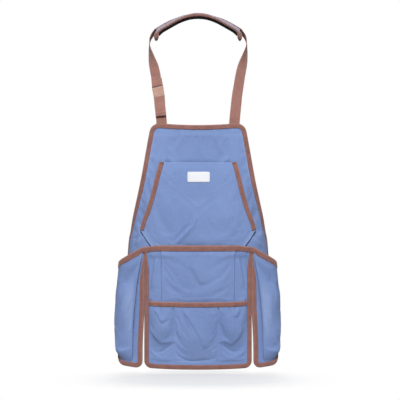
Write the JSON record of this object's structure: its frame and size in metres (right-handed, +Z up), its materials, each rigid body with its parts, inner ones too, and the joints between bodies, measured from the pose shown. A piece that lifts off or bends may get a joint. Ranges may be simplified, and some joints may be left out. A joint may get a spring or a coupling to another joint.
{
  "type": "bib apron",
  "caption": "Canvas bib apron for garden work, bound in tape, with a padded neck strap, slider, bib pocket, pleated waist pockets and bellows side pockets.",
  "frame": {"origin": "middle of the neck pad's underside, where it rests on the neck or on a hanger", "axes": "+Z up from hem to neck pad, +X to the right as seen from the front, +Y back towards the wearer"},
  "size_m": [0.4236, 0.1437, 0.9127],
  "materials": {
    "canvas": "matt plain-weave cotton canvas, mid blue",
    "tape": "matt ribbed binding tape, brown",
    "webbing": "matt woven webbing, brown",
    "pad_cover": "matt pale blue-grey cotton",
    "pad_foam": "black knitted lining over foam",
    "label": "plain white woven patch",
    "slider": "satin tan plastic"
  },
  "bodies": {
    "root": {"apron_body": "canvas", "bib_pocket": "canvas", "front_pocket": "canvas", "lower_pocket": "canvas", "side_pocket_left": "canvas", "side_pocket_right": "canvas", "bib_binding": "tape", "bib_pocket_binding_left": "tape", "bib_pocket_binding_right": "tape", "waist_binding": "tape", "lower_pocket_binding": "tape", "centre_binding": "tape", "side_binding_left": "tape", "side_binding_right": "tape", "neck_pad_binding": "tape", "neck_strap_right": "webbing", "neck_strap_left": "webbing", "adjuster_strap": "webbing", "neck_pad_cover": "pad_cover", "neck_pad_foam": "pad_foam", "label": "label", "strap_slider": "slider"}
  },
  "joints": []
}
